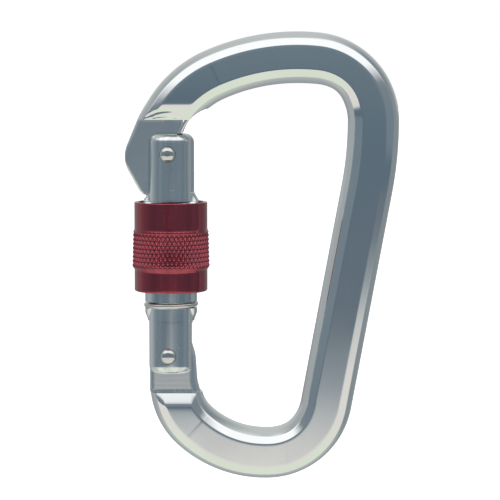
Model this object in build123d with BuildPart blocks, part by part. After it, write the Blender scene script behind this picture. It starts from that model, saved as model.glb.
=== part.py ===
"""Screw-gate locking carabiner, pear shaped, with a pin-latched nose.

Millimetres. The carabiner stands upright in the XZ plane: +Z is up, the spine is on
the +X side, the gate on the -X side, and the bar's thickness runs along Y. The origin
is where a rope or belay loop seats: the inside apex of the wide top basket.
"""
from build123d import *
from math import asin, degrees, sqrt
import os

# ---- bar of the body ----
bar_width = 12.8          # across the bar, in the plane of the carabiner
bar_thickness = 12.0      # through the bar, along Y
face_width = 6.2          # raised flat face on each side of the bar
bevel_width = 1.8         # bevel beside the raised face
bevel_depth = 1.0         # how far that bevel falls towards the side

# ---- centreline of the bar, from the top of the basket down the spine and round ----
crown_radius = 47.0
crown_turn = 6.2
shoulder_radius = 15.6
shoulder_turn = 83.6
hip_radius = 91.0
hip_turn = 10.7
spine_length = 55.0
heel_radius = 15.2
heel_turn = 77.3
foot_radius = 26.2
foot_turn = 44.4
tail_radius = 14.8
tail_length = 1.5         # short upright run inside the tang's root

# ---- centreline of the bar, from the top of the basket out to the nose ----
brow_radius = 51.0
brow_turn = 23.6
nose_radius = 24.4
nose_turn = 46.3

# ---- where the bar stops, measured from the two ends of its centreline ----
nose_step_rise = 2.84     # underside of the full bar at the nose
tail_step_drop = 2.1      # top of the full bar at the hinge end
step_bevel_length = 2.8
step_bevel_depth = 1.3

# ---- gate ----
gate_inset = 1.07         # gate's upright axis, outside the end of the bar's centreline
gate_top_gap = 3.5        # below the nose step
fork_radius = 5.85        # both forked ends
barrel_rise = 0.65        # plain barrel over the forks
thread_rise = 1.15        # thread over the forks
thread_drop = 16.5        # top of the thread below the gate's top
thread_ring_gap = 6.55    # end of the thread above the stop ring
flare_length = 2.0
lower_shoulder_drop = 2.05
lower_shoulder_length = 1.7
lower_end_drop = 4.55     # gate's lower end below the hinge rivet
lower_chamfer = 1.4
upper_round = 1.6
facet_half_width = 3.5    # slanted facets on the inner side of both forks

# ---- rivets ----
pivot_rise = 7.24         # hinge rivet above the upright end of the bar's centreline
latch_drop = 5.0          # latch rivet below the gate's top
rivet_offset = 0.6        # both rivets sit this far outside the gate's axis
rivet_radius = 1.9
rivet_proud = 0.7         # how far each domed end stands out of the fork
rivet_dome = 0.9
rivet_hole_gap = 0.03     # rivet in the gate's ears
pivot_gap = 0.08          # rivet in the body's tang
latch_gap = 0.25          # rivet in the nose notch

# ---- nose tab: across from the gate's axis, up from the nose step ----
tab_thickness = 3.2
tab_shoulder = (-7.45, 2.0)
tab_corner = (-12.25, -9.6)
tab_toe = (-7.1, -18.9)
tab_heel = (-1.55, -18.9)
tab_lip = (1.05, -12.8)
tab_root = (3.45, 2.0)
tab_corner_radius = 7.8
tab_toe_radius = 3.0
tab_heel_radius = 2.0
notch_mouth = 8.0         # notch runs this far inward from the latch rivet
rib_top = (3.55, 0.0)     # full-thickness rib left along the inner edge of the nose
rib_foot = (1.95, -2.9)
relief_start = (8.85, 2.6)
relief_middle = (5.15, 0.3)
relief_end = (3.15, -3.1)

# ---- hinge tang: across from the gate's axis ----
tang_thickness = 4.0
tang_height = 5.0         # flat cam top of the tang above the hinge rivet
tang_outer = -5.35
tang_inner_top = 5.55
tang_inner_foot = 7.35
tang_corner_radius = 2.9
tang_root = 2.5           # depth the tang runs down into the full bar

# ---- slots in the gate ----
slot_gap = 0.15           # each side, between a slot and what runs in it
web_thickness = 1.2       # wall that closes the upper slot on the inner side
upper_slot_depth = 16.8
lower_slot_rise = 8.6     # lower slot's floor above the hinge rivet

# ---- locking sleeve and its travel ----
sleeve_top_drop = 0.5     # sleeve's rim below the top of the thread, half unscrewed
sleeve_travel = 2.5       # each way
sleeve_stop_gap = 0.2     # left above the stop ring at the end of the travel
counterbore_rise = 1.2    # counterbore over the thread
counterbore_depth = 8.8
sleeve_wall = 0.92        # wall round the counterbore
knurl_rise = 0.53
upper_band = 6.7          # plain bands above and below the knurling
lower_band = 5.4
sleeve_chamfer = 0.5
thread_gap = 0.08

# ---- stop ring ----
ring_rise = 12.6          # ring above the hinge rivet
ring_wire_radius = 0.65
ring_sink = 0.35          # middle of the wire inside the barrel's surface
ring_gap_angle = 12.0
groove_gap = 0.06

# ---- return spring and plunger, inside the gate ----
bore_margin = 0.1         # bore inside the lower slot's walls
plunger_gap = 0.07
plunger_length = 7.0
plunger_rest_gap = 0.05
spring_length = 15.0
spring_wire_radius = 0.3
spring_gap = 0.15
spring_end_gap = 0.03
spring_turns = 9

# ---- centreline of the bar, drawn flat ----
crown_z = bar_width / 2
tail_turn = 270.0 - crown_turn - shoulder_turn - hip_turn - heel_turn - foot_turn

with BuildLine() as nose_side:
    brow = JernArc((0, crown_z), (-1, 0), brow_radius, brow_turn)
    nose = JernArc(brow @ 1, brow % 1, nose_radius, nose_turn)

with BuildLine() as spine_side:
    crown = JernArc((0, crown_z), (1, 0), crown_radius, -crown_turn)
    shoulder = JernArc(crown @ 1, crown % 1, shoulder_radius, -shoulder_turn)
    hip = JernArc(shoulder @ 1, shoulder % 1, hip_radius, -hip_turn)
    spine = Line(hip @ 1, hip @ 1 + (hip % 1) * spine_length)
    heel = JernArc(spine @ 1, spine % 1, heel_radius, -heel_turn)
    foot = JernArc(heel @ 1, heel % 1, foot_radius, -foot_turn)
    tail = JernArc(foot @ 1, foot % 1, tail_radius, -tail_turn)
    Line(tail @ 1, tail @ 1 + (tail % 1) * tail_length)

# ---- worked out from the sizes above: the body ----
half_width = bar_width / 2
half_thickness = bar_thickness / 2
half_face = face_width / 2
side_half = half_face + bevel_width
side_depth = half_thickness - bevel_depth
far = 4 * bar_width       # reach of cutting shapes past the bar
nose_step_z = (nose @ 1).Y + nose_step_rise
tail_step_z = (tail @ 1).Y - tail_step_drop

# ---- worked out: the gate and its rivets ----
gate_x = (tail @ 1).X - gate_inset
rivet_x = gate_x - rivet_offset
pivot_z = (tail @ 1).Y + pivot_rise
gate_top_z = nose_step_z - gate_top_gap
gate_bottom_z = pivot_z - lower_end_drop
latch_z = gate_top_z - latch_drop
rivet_length = 2 * (fork_radius + rivet_proud)
dome_radius = (rivet_radius**2 + rivet_dome**2) / (2 * rivet_dome)
dome_turn = degrees(asin(rivet_radius / dome_radius))
barrel_radius = fork_radius + barrel_rise
thread_radius = fork_radius + thread_rise
ring_z = pivot_z + ring_rise
ring_radius = barrel_radius - ring_sink
thread_top_z = gate_top_z - thread_drop
thread_bottom_z = ring_z + thread_ring_gap
lower_shoulder_z = ring_z - lower_shoulder_drop
facet_x = sqrt(fork_radius**2 - facet_half_width**2)
web_x = fork_radius - web_thickness
tab_slot_width = tab_thickness + 2 * slot_gap
tang_slot_width = tang_thickness + 2 * slot_gap
upper_slot_floor_z = gate_top_z - upper_slot_depth
lower_slot_floor_z = pivot_z + lower_slot_rise
tang_top_z = pivot_z + tang_height

# ---- worked out: sleeve, plunger and spring ----
sleeve_top_z = thread_top_z - sleeve_top_drop
sleeve_bottom_z = ring_z + ring_wire_radius + sleeve_stop_gap + sleeve_travel
counterbore_radius = thread_radius + counterbore_rise
counterbore_z = sleeve_top_z - counterbore_depth
sleeve_radius = counterbore_radius + sleeve_wall
knurl_radius = sleeve_radius + knurl_rise
knurl_top_z = sleeve_top_z - upper_band
knurl_bottom_z = sleeve_bottom_z + lower_band
bore_radius = tang_slot_width / 2 - bore_margin
plunger_radius = bore_radius - plunger_gap
plunger_bottom_z = tang_top_z + plunger_rest_gap
plunger_top_z = plunger_bottom_z + plunger_length
bore_top_z = plunger_top_z + spring_length
coil_radius = bore_radius - spring_gap - spring_wire_radius
coil_bottom_z = plunger_top_z + spring_wire_radius + spring_end_gap
coil_height = spring_length - 2 * (spring_wire_radius + spring_end_gap)

gate_axis = Axis((gate_x, 0, 0), (0, 0, 1))
gate_profile_plane = Plane(origin=(gate_x, 0, 0), x_dir=(1, 0, 0), z_dir=(0, -1, 0))
gate_section_plane = Plane((gate_x, 0, 0))

os.makedirs("parts", exist_ok=True)


def finish(piece, name):
    """Label one finished piece and write it to its own file."""
    piece.label = name
    export_step(piece, f"parts/{name}.step")


def from_nose(point):
    """Place a nose point, given across from the gate's axis and up from the nose step."""
    return (gate_x + point[0], nose_step_z + point[1])


def bar_section():
    """Outline of the bar: raised faces, a bevel beside each, and bulging sides."""
    with BuildSketch(Plane(origin=(0, crown_z, 0), x_dir=(0, 1, 0), z_dir=(1, 0, 0))) as section:
        with BuildLine():
            Polyline(
                (-side_half, side_depth),
                (-half_face, half_thickness),
                (half_face, half_thickness),
                (side_half, side_depth),
            )
            ThreePointArc((side_half, side_depth), (half_width, 0), (side_half, -side_depth))
            Polyline(
                (side_half, -side_depth),
                (half_face, -half_thickness),
                (-half_face, -half_thickness),
                (-side_half, -side_depth),
            )
            ThreePointArc((-side_half, -side_depth), (-half_width, 0), (-side_half, side_depth))
        make_face()
    return section.sketch


def end_bevel(side, step, inward):
    """Side view of the slope between the raised face and the edge of a milled step."""
    run = step_bevel_length
    with BuildSketch(Plane.YZ.offset(gate_x - far / 2)) as wedge:
        Polygon(
            (step + inward * run, side * half_thickness),
            (step - inward * run, side * (half_thickness - 2 * step_bevel_depth)),
            (step - inward * run, side * (half_thickness + run)),
            (step + inward * run, side * (half_thickness + run)),
            align=None,
        )
    return wedge.sketch


# ---- body: one forged bar bent round, built flat in XY and then stood up ----
with BuildPart() as body:
    sweep(bar_section(), path=nose_side.wire())
    sweep(bar_section(), path=spine_side.wire())

    # Both faces are milled away beside the tab and beside the tang, down to a step
    # with a sloping edge. A rib of the full bar is left along the nose's inner edge.
    for side in (1, -1):
        with BuildSketch(Plane.XY.offset(side * tab_thickness / 2)):
            Polygon(
                (gate_x - far / 2, nose_step_z),
                from_nose(rib_top),
                from_nose(rib_foot),
                (gate_x + far / 2, nose_step_z + rib_foot[1]),
                (gate_x + far / 2, upper_slot_floor_z),
                (gate_x - far / 2, upper_slot_floor_z),
                align=None,
            )
        extrude(amount=side * far, mode=Mode.SUBTRACT)
        with BuildSketch(Plane.XY.offset(side * tang_thickness / 2)):
            with Locations((gate_x, tail_step_z)):
                Rectangle(far, bar_width, align=(Align.CENTER, Align.MIN))
        extrude(amount=side * far, mode=Mode.SUBTRACT)
        for step, inward in ((nose_step_z, 1), (tail_step_z, -1)):
            wedge = end_bevel(side, step, inward)
            extrude(wedge, amount=far / 2 + bar_width, mode=Mode.SUBTRACT)

    # The inner edge of the nose is relieved so that the gate's top swings past it.
    with BuildSketch():
        with BuildLine():
            ThreePointArc(from_nose(relief_start), from_nose(relief_middle), from_nose(relief_end))
            Polyline(
                from_nose(relief_end),
                (gate_x + relief_end[0], upper_slot_floor_z),
                (gate_x + far / 2, upper_slot_floor_z),
                (gate_x + far / 2, nose_step_z + relief_start[1]),
                from_nose(relief_start),
            )
        make_face()
    extrude(amount=far, both=True, mode=Mode.SUBTRACT)

    # Nose tab, with the notch that the latch rivet drops into.
    with BuildSketch():
        tab_points = (tab_shoulder, tab_corner, tab_toe, tab_heel, tab_lip, tab_root)
        Polygon(*[from_nose(point) for point in tab_points], align=None)
        fillet(vertices().sort_by_distance(from_nose(tab_corner))[0], tab_corner_radius)
        fillet(vertices().sort_by_distance(from_nose(tab_toe))[0], tab_toe_radius)
        fillet(vertices().sort_by_distance(from_nose(tab_heel))[0], tab_heel_radius)
    extrude(amount=tab_thickness / 2, both=True)
    with BuildSketch():
        notch_radius = rivet_radius + latch_gap
        with Locations((rivet_x, latch_z)):
            Circle(notch_radius)
            Rectangle(notch_mouth, 2 * notch_radius, align=(Align.MIN, Align.CENTER))
    extrude(amount=far, both=True, mode=Mode.SUBTRACT)

    # Hinge tang, with the flat top that works as the plunger's cam.
    with BuildSketch():
        Polygon(
            (gate_x + tang_outer, tail_step_z - tang_root),
            (gate_x + tang_outer, tang_top_z),
            (gate_x + tang_inner_top, tang_top_z),
            (gate_x + tang_inner_foot, tail_step_z - tang_root),
            align=None,
        )
        fillet(vertices().group_by(Axis.Y)[-1], tang_corner_radius)
    extrude(amount=tang_thickness / 2, both=True)
    with BuildSketch():
        with Locations((rivet_x, pivot_z)):
            Circle(rivet_radius + pivot_gap)
    extrude(amount=far, both=True, mode=Mode.SUBTRACT)

finish(body.part.moved(Plane.XZ.location), "body")


# ---- gate: a turned rod, slotted at both ends and bored for its spring ----
with BuildPart() as gate:
    with BuildSketch(gate_profile_plane):
        with BuildLine():
            crest = Line((0, gate_top_z), (fork_radius - upper_round, gate_top_z))
            JernArc(crest @ 1, (1, 0), upper_round, -90)
            Polyline(
                (fork_radius, gate_top_z - upper_round),
                (fork_radius, thread_top_z + flare_length),
                (thread_radius, thread_top_z),
                (thread_radius, thread_bottom_z + thread_rise - barrel_rise),
                (barrel_radius, thread_bottom_z),
                (barrel_radius, lower_shoulder_z),
                (fork_radius, lower_shoulder_z - lower_shoulder_length),
                (fork_radius, gate_bottom_z + lower_chamfer),
                (fork_radius - lower_chamfer, gate_bottom_z),
                (0, gate_bottom_z),
                (0, gate_top_z),
            )
        make_face()
    revolve(axis=gate_axis)

    # Groove for the stop ring.
    with BuildSketch(gate_profile_plane):
        with Locations((ring_radius, ring_z)):
            Circle(ring_wire_radius + groove_gap)
    revolve(axis=gate_axis, mode=Mode.SUBTRACT)

    # Upper slot takes the nose tab and stays closed on the inner side.
    with BuildSketch(gate_section_plane.offset(upper_slot_floor_z)):
        with Locations((web_x, 0)):
            Rectangle(far, tab_slot_width, align=(Align.MAX, Align.CENTER))
    extrude(amount=far, mode=Mode.SUBTRACT)

    # Lower slot takes the tang and is open on both sides.
    with BuildSketch(gate_section_plane.offset(lower_slot_floor_z)):
        Rectangle(far, tang_slot_width)
    extrude(amount=-far, mode=Mode.SUBTRACT)

    # Slanted facets on the inner side of both forks.
    for start, end in (
        (gate_top_z, thread_top_z + flare_length),
        (lower_shoulder_z - lower_shoulder_length, gate_bottom_z),
    ):
        with BuildSketch(gate_section_plane.offset(end)):
            Polygon(
                (facet_x, facet_half_width),
                (fork_radius, 0),
                (facet_x, -facet_half_width),
                (far, -facet_half_width),
                (far, facet_half_width),
                align=None,
            )
        extrude(amount=start - end, mode=Mode.SUBTRACT)

    # Holes for the two rivets, and the blind bore for the spring and plunger.
    with BuildSketch(Plane.XZ):
        with Locations((rivet_x, latch_z), (rivet_x, pivot_z)):
            Circle(rivet_radius + rivet_hole_gap)
    extrude(amount=far, both=True, mode=Mode.SUBTRACT)
    with BuildSketch(gate_section_plane.offset(bore_top_z)):
        Circle(bore_radius)
    extrude(amount=lower_slot_floor_z - bore_top_z, mode=Mode.SUBTRACT)

finish(gate.part, "gate")


# ---- rivets: plain pins with domed ends, held in the gate's ears ----
def rivet(height):
    """Cross rivet through the gate at the given height."""
    half_length = rivet_length / 2
    with BuildPart() as pin:
        with BuildSketch(Plane((rivet_x, 0, height))):
            with BuildLine():
                lower_dome = JernArc((0, -half_length), (1, 0), dome_radius, dome_turn)
                upper_dome = JernArc((0, half_length), (1, 0), dome_radius, -dome_turn)
                Line(lower_dome @ 1, upper_dome @ 1)
                Line((0, -half_length), (0, half_length))
            make_face()
        revolve(axis=Axis((rivet_x, 0, height), (0, 1, 0)))
    return pin.part


finish(rivet(latch_z), "latch_rivet")
finish(rivet(pivot_z), "hinge_rivet")


# ---- locking sleeve: threaded below, counterbored above to pass over the nose ----
with BuildPart() as locking_sleeve:
    with BuildSketch(gate_profile_plane):
        Polygon(
            (thread_radius + thread_gap, sleeve_bottom_z),
            (sleeve_radius - sleeve_chamfer, sleeve_bottom_z),
            (sleeve_radius, sleeve_bottom_z + sleeve_chamfer),
            (sleeve_radius, knurl_bottom_z),
            (knurl_radius, knurl_bottom_z + knurl_rise),
            (knurl_radius, knurl_top_z - knurl_rise),
            (sleeve_radius, knurl_top_z),
            (sleeve_radius, sleeve_top_z - sleeve_chamfer / 2),
            (sleeve_radius - sleeve_chamfer / 2, sleeve_top_z),
            (counterbore_radius, sleeve_top_z),
            (counterbore_radius, counterbore_z),
            (thread_radius + thread_gap, counterbore_z),
            align=None,
        )
    revolve(axis=gate_axis)

finish(locking_sleeve.part, "locking_sleeve")


# ---- stop ring: split wire ring in its groove, the sleeve's lower stop ----
with BuildPart() as stop_ring:
    with BuildSketch(gate_profile_plane):
        with Locations((ring_radius, ring_z)):
            Circle(ring_wire_radius)
    revolve(axis=gate_axis, revolution_arc=360 - ring_gap_angle)

finish(stop_ring.part, "stop_ring")


# ---- spring plunger: round-nosed pin that rides on the tang's flat top ----
with BuildPart() as spring_plunger:
    with BuildSketch(gate_profile_plane):
        with BuildLine():
            tip = JernArc((0, plunger_bottom_z), (1, 0), plunger_radius, 90)
            Polyline(
                tip @ 1,
                (plunger_radius, plunger_top_z),
                (0, plunger_top_z),
                (0, plunger_bottom_z),
            )
        make_face()
    revolve(axis=gate_axis)

finish(spring_plunger.part, "spring_plunger")


# ---- return spring: coil between the plunger and the end of the bore ----
with BuildPart() as gate_spring:
    with BuildLine(gate_section_plane.offset(coil_bottom_z)):
        coil = Helix(coil_height / spring_turns, coil_height, coil_radius)
    with BuildSketch(Plane(origin=coil @ 0, z_dir=coil % 0)):
        Circle(spring_wire_radius)
    sweep(path=coil, is_frenet=True)

finish(gate_spring.part, "gate_spring")
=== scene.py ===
"""Looks of a screw-gate locking carabiner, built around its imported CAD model.

The sections follow the object as it is put together: the bent bar, the gate that swings
in it, the two rivets, the stop ring, the locking sleeve, then the plunger and its spring.
Sizes and places in the sections are millimetres in the CAD frame, with Z up and the
origin at the inside apex of the basket. make_piece() turns them into metres.
"""
from math import asin, atan2, ceil, degrees, hypot, pi, radians, sqrt, tan

import bpy
import numpy as np
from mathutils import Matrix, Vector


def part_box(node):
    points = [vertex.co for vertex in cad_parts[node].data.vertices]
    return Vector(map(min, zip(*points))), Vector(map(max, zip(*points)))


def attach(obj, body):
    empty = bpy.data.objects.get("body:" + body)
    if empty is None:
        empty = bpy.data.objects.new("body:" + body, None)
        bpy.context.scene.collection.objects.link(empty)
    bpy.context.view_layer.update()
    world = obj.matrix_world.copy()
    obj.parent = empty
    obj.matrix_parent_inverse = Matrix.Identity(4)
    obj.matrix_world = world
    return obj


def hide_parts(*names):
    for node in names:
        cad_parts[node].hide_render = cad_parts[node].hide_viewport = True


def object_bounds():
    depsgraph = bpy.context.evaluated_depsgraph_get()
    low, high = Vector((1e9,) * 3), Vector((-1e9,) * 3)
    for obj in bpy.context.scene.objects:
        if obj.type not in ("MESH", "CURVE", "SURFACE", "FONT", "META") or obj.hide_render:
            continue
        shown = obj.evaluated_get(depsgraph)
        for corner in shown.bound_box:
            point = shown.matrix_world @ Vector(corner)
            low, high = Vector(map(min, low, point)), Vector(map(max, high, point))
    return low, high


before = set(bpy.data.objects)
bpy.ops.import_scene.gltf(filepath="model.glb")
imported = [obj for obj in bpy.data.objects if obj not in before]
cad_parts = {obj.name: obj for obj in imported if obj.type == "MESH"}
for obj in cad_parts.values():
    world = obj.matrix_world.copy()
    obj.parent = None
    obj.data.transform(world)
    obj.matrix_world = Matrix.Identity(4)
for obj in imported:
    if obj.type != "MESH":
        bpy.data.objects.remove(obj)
cad_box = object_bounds()
scene = bpy.context.scene
scene.view_settings.view_transform = "Standard"


# ---- Camera --------------------
# A long lens, level with the top of the object and tipped a little down, as for a
# catalogue picture.
camera_place = (-11.7, -571.0, 8.33)
camera_tip = 5.0          # degrees below level
camera_data = bpy.data.cameras.new("camera")
camera_data.sensor_width = 36.0
camera_data.lens = 165.07
camera = bpy.data.objects.new("camera", camera_data)
camera.location = [place / 1000 for place in camera_place]
camera.rotation_euler = (radians(90 - camera_tip), 0, 0)
scene.collection.objects.link(camera)
scene.camera = camera


# ---- Studio --------------------
# A white cove with a big soft light overhead. The metal mirrors a dim blue-grey room at
# eye level in front, a bright table top below it, grey walls at the sides, the left one
# lighter, and a pale wall behind.
def fill(tree, node, inputs):
    """Joins a node's inputs to other nodes, or fills them in where a plain value is given."""
    for name, value in inputs.items():
        if isinstance(value, bpy.types.NodeSocket):
            tree.links.new(value, node.inputs[name])
        else:
            node.inputs[name].default_value = value


def add(tree, kind, inputs={}, **settings):
    """Adds one shader node with its settings, and fills its inputs."""
    made = tree.nodes.new("ShaderNode" + kind)
    for name, value in settings.items():
        setattr(made, name, value)
    fill(tree, made, inputs)
    return made


def math(tree, operation, first, second=0.0):
    """One sum on one or two values."""
    return add(tree, "Math", {0: first, 1: second}, operation=operation).outputs[0]


def share_of(tree, value, low, high):
    """Goes from 0 where the value is low to 1 where it is high."""
    return add(tree, "MapRange", {0: value, 1: low, 2: high}).outputs[0]


def ramp(tree, factor, stops):
    """Colours along a factor, from (place from 0 to 1, colour) stops."""
    made = add(tree, "ValToRGB", {0: factor})
    elements = made.color_ramp.elements
    while len(elements) < len(stops):
        elements.new(1.0)
    for element, (place, colour) in zip(elements, stops):
        element.position = place
        element.color = (*colour, 1.0)
    return made.outputs["Color"]


def mix(tree, factor, first, second):
    """Blends two colours by a factor."""
    made = add(tree, "Mix", {0: factor, 6: first, 7: second}, data_type="RGBA")
    return made.outputs[2]


def by_elevation(stops):
    """Stops given in degrees above the horizon, as places from 0 to 1."""
    return [((elevation + 90) / 180, colour) for elevation, colour in stops]


table_glow = (0.80, 0.86, 0.72)
table_front = (0.83, 0.80, 0.755)
table_edge = (0.50, 0.54, 0.54)
table_shade = (0.232, 0.288, 0.325)
room_low = (0.137, 0.172, 0.211)
room_dark = (0.115, 0.170, 0.213)
room_level = (0.178, 0.235, 0.275)
room_upper = (0.22, 0.26, 0.29)
top_light = (1.15, 1.16, 1.16)
zenith = (0.66, 0.69, 0.69)
wall_dark = (0.25, 0.29, 0.31)
wall_light = (0.40, 0.43, 0.44)
wall_foot = (0.58, 0.62, 0.57)
rear_low = (0.27, 0.28, 0.29)
rear_wall = (0.58, 0.61, 0.60)
table_dip = 0.125         # how much lower the table's far edge lies at the sides
side_blend = 0.35         # how far to each side the two side walls blend

world = bpy.data.worlds.new("studio")
world.use_nodes = True
scene.world = world
tree = world.node_tree
tree.nodes.clear()
split = add(tree, "SeparateXYZ", {0: add(tree, "TexCoord").outputs["Generated"]})
sideways = math(tree, "ABSOLUTE", split.outputs["X"])
raised = add(tree, "Math", {0: sideways, 1: table_dip, 2: split.outputs["Z"]}, operation="MULTIPLY_ADD")
front_share, elevation_share = (
    share_of(tree, math(tree, "ARCSINE", up), -pi / 2, pi / 2)
    for up in (math(tree, "MINIMUM", raised.outputs[0], 1.0), split.outputs["Z"])
)
level = add(tree, "CombineXYZ", {0: split.outputs["X"], 1: split.outputs["Y"]})
level = add(tree, "VectorMath", {0: level.outputs[0]}, operation="NORMALIZE")
level = add(tree, "SeparateXYZ", {0: level.outputs[0]})
away_from_front = math(tree, "ARCCOSINE", math(tree, "MULTIPLY", level.outputs["Y"], -1.0))
azimuth_share = math(tree, "DIVIDE", away_from_front, pi)
front = ramp(tree, front_share, by_elevation([
    (-85, table_glow), (-40, table_glow), (-20, table_front), (-9.8, table_front), (-9.0, table_edge),
    (-8.0, table_shade), (-7.1, room_low), (-1.5, room_dark), (0.5, room_level), (30, room_upper),
    (43, top_light), (80, top_light), (90, zenith),
]))
right_side = ramp(tree, elevation_share, by_elevation([
    (-85, table_glow), (-45, wall_foot), (-24, wall_dark), (12, wall_dark), (40, room_upper),
    (60, rear_wall), (80, top_light), (90, zenith),
]))
left_side = ramp(tree, elevation_share, by_elevation([
    (-85, table_glow), (-45, wall_foot), (-20, wall_light), (12, wall_light), (40, wall_light),
    (60, rear_wall), (80, top_light), (90, zenith),
]))
rear = ramp(tree, elevation_share, by_elevation([
    (-85, wall_foot), (-45, wall_light), (-3, rear_low), (4, rear_wall), (66, rear_wall), (90, zenith),
]))
leftward = share_of(tree, level.outputs["X"], side_blend, -side_blend)
side = mix(tree, leftward, right_side, left_side)
round_to_side = ramp(tree, azimuth_share, [(0.37, (0, 0, 0)), (0.62, (1, 1, 1))])
side_to_rear = ramp(tree, azimuth_share, [(0.72, (0, 0, 0)), (0.95, (1, 1, 1))])
mirrored = mix(tree, side_to_rear, mix(tree, round_to_side, front, side), rear)
seen = add(tree, "LightPath").outputs["Is Camera Ray"]
shown = mix(tree, seen, mirrored, (1, 1, 1, 1))
background = add(tree, "Background", {"Color": shown})
add(tree, "OutputWorld", {"Surface": background.outputs[0]})

floor_drop = 60.0         # floor below the lowest point of the object
floor_reach = 6.0         # metres each way
floor_z = cad_box[0].z - floor_drop / 1000
floor_mesh = bpy.data.meshes.new("floor")
corners = [
    (x * floor_reach, y * floor_reach, floor_z) for x, y in ((-1, -1), (1, -1), (1, 1), (-1, 1))
]
floor_mesh.from_pydata(corners, [], [(0, 1, 2, 3)])
floor = bpy.data.objects.new("floor", floor_mesh)
scene.collection.objects.link(floor)
floor.visible_glossy = False
floor.visible_diffuse = False
floor_paper = bpy.data.materials.new("white_paper")
floor_paper.use_nodes = True
fill(floor_paper.node_tree, floor_paper.node_tree.nodes["Principled BSDF"], {
    "Base Color": (0.92, 0.92, 0.92, 1), "Roughness": 0.8,
    "Emission Color": (1, 1, 1, 1), "Emission Strength": 0.62,
})
floor_mesh.materials.append(floor_paper)


# ---- Body --------------------
# One round-edged aluminium bar, bent to a pear shape and forged flat on both faces with
# a bevel beside each face, then tumbled and polished. The nose and the hinge end are
# milled down to a flat tab and a flat tang, which keep their fine cutter lines.
def shares(count):
    """Evenly spaced parts of a whole, from 0 up to one step before 1."""
    return np.arange(count) / count


def arc(radius, turn):
    """Length and turn, in radians, of an arc given by its radius and its turn in degrees."""
    return radius * radians(abs(turn)), radians(turn)


def trace(start, heading, runs, counts):
    """Points and headings along a chain of arcs and straights, each given as (length, turn).

    Part of the way along a run the heading has turned by that part of the turn, and the
    chord from the run's start lies along the mean of the two headings. The chord is that
    part of the length times the sine of half the turn so far over half the turn so far.
    The run's own end is left to the next run, and the last end is added."""
    points, headings = [], []
    place = np.array(start, float)
    for (length, turn), count in zip(runs, counts):
        part = np.arange(count + 1) / count
        chord = part * length * np.sinc(part * turn / (2 * pi))
        mean = heading + part * turn / 2
        along = place + chord[:, None] * np.stack([np.cos(mean), np.sin(mean)], 1)
        points.append(along[:-1])
        headings.append(heading + part[:-1] * turn)
        place = along[-1]
        heading = heading + turn
    return np.vstack([*points, place]), np.append(np.concatenate(headings), heading)


def shell(rows, ring=False):
    """Vertices and faces of a closed skin over a stack of closed loops.

    Each loop is joined to the next with quads, point by point. The first and last loops
    are closed with a face each or, in a ring, joined to each other."""
    index = np.arange(rows.shape[0] * rows.shape[1]).reshape(rows.shape[:2])
    here = index if ring else index[:-1]
    above = np.roll(index, -1, 0) if ring else index[1:]
    quads = np.stack([here, np.roll(here, -1, 1), np.roll(above, -1, 1), above], -1)
    faces = quads.reshape(-1, 4).tolist()
    if not ring:
        faces += [index[0][::-1].tolist(), index[-1].tolist()]
    # Each quad's area times its distance from the middle: the sum goes with the volume,
    # and is negative when the faces point inwards.
    a, b, c, d = (rows.reshape(-1, 3)[quads.reshape(-1, 4)[:, i]] for i in range(4))
    outward = np.sum(np.cross(c - a, d - b) * (a + b + c + d - 4 * rows.mean((0, 1))))
    if outward < 0:
        faces = [face[::-1] for face in faces]
    return rows.reshape(-1, 3), faces


def make_piece(name, shells, material, body, node, crease=32.0, edge=0.0, masks={}):
    """Makes one piece of one or more closed shells, in place of one CAD node.

    Faces are smooth up to the crease angle. An edge size rounds what is sharper, and the
    masks are values on the vertices that the material reads by name."""
    places, faces, offset = [], [], 0
    for vertices, skin in shells:
        places.append(vertices)
        faces += [[corner + offset for corner in face] for face in skin]
        offset += len(vertices)
    mesh = bpy.data.meshes.new(name)
    mesh.from_pydata((np.vstack(places) / 1000).tolist(), [], faces)
    mesh.shade_smooth()
    mesh.set_sharp_from_angle(angle=radians(crease))
    for mask, values in masks.items():
        mesh.attributes.new(mask, "FLOAT", "POINT").data.foreach_set("value", values)
    mesh.materials.append(material)
    made = bpy.data.objects.new(name, mesh)
    scene.collection.objects.link(made)
    if edge:
        rounding = made.modifiers.new("rounded_edges", "BEVEL")
        rounding.width = edge / 1000
        rounding.segments = 2
        rounding.limit_method = "ANGLE"
        rounding.angle_limit = radians(50)
        rounding.harden_normals = False
    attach(made, body)
    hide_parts(node)
    return made


def smooth(low, high, values):
    """Eases from 0 at low to 1 at high: three times the share squared less twice its cube."""
    share = np.clip((values - low) / (high - low), 0, 1)
    return share * share * (3 - 2 * share)


def lower_of(first, second, softness):
    """The lower of two values, with a round corner where they cross: half their sum less
    half the root of their difference squared plus the softness squared."""
    return (first + second - np.sqrt((first - second) ** 2 + softness**2)) / 2


def rounded_chain(corners, radii, samples):
    """Points along straight lines whose inner corners are replaced with tangent arcs.

    Each arc starts its radius times the tangent of half the turn before the corner."""
    lines = np.diff(np.array(corners, float), axis=0)
    lengths = np.hypot(*lines.T)
    headings = np.unwrap(np.arctan2(lines[:, 1], lines[:, 0]))
    turns = np.diff(headings)
    cut = np.array([0, *(np.array(radii) * np.tan(np.abs(turns) / 2)), 0])
    runs, counts = [], []
    for i, length in enumerate(lengths):
        runs.append((length - cut[i] - cut[i + 1], 0.0))
        counts.append(samples)
        if i < len(turns):
            runs.append((radii[i] * abs(turns[i]), turns[i]))
            counts.append(samples)
    return trace(corners[0], headings[0], runs, counts)[0]


def centre_of(box):
    """Middle of a box of corners in metres, in millimetres."""
    return (np.array(box[0]) + np.array(box[1])) * 500


def span_of(box):
    """Lowest and highest height of a box of corners in metres, in millimetres."""
    return box[0].z * 1000, box[1].z * 1000


def radius_of(box):
    """Half the width along X of a box of corners in metres, in millimetres."""
    return (box[1].x - box[0].x) * 500


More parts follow.
